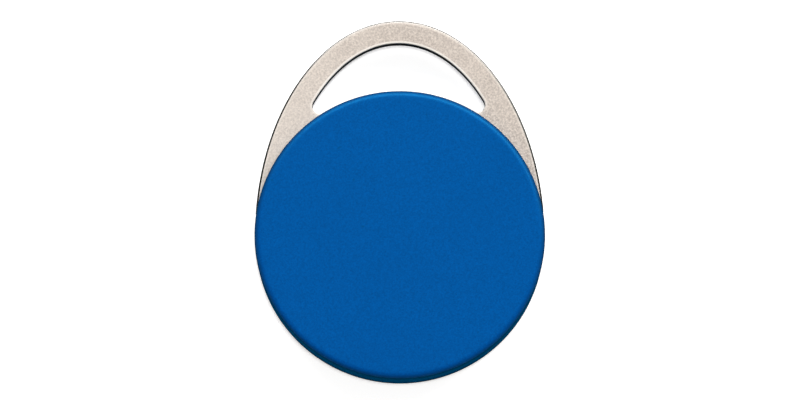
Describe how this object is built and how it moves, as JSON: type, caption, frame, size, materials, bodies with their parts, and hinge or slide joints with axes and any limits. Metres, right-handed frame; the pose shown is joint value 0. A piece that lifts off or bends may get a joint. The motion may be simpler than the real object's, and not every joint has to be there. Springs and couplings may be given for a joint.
{
  "type": "transit token",
  "caption": "Round contactless fare token: a flat plastic disc in two shells welded round a stamped steel key-ring loop, with a wound-coil radio inlay inside.",
  "frame": {"origin": "centre of the round back face", "axes": "+Z out of the front face, +Y towards the crown of the steel loop, +X to the right seen from the front"},
  "size_m": [0.03, 0.0376, 0.0052],
  "materials": {
    "shell": "satin",
    "steel": "satin",
    "adhesive": "matte",
    "board": "satin",
    "enamelled_copper": "gloss",
    "copper": "satin",
    "solder": "satin",
    "capacitor_ceramic": "matte",
    "silicon": "polished",
    "gold": "polished",
    "epoxy": "gloss",
    "foam": "matte"
  },
  "bodies": {
    "root": {"back_shell": "shell", "front_shell": "shell", "steel_loop": "steel", "adhesive_pad": "adhesive", "circuit_board": "board", "antenna_coil": "enamelled_copper", "coil_lead_start": "enamelled_copper", "coil_lead_end": "enamelled_copper", "copper_track_start": "copper", "copper_track_end": "copper", "coil_solder_start": "solder", "coil_solder_end": "solder", "capacitor_solder_start": "solder", "capacitor_solder_end": "solder", "capacitor_terminal_start": "solder", "capacitor_terminal_end": "solder", "capacitor_body": "capacitor_ceramic", "radio_chip": "silicon", "bond_wire_start": "gold", "bond_wire_end": "gold", "chip_encapsulant": "epoxy", "foam_pad": "foam"}
  },
  "joints": []
}
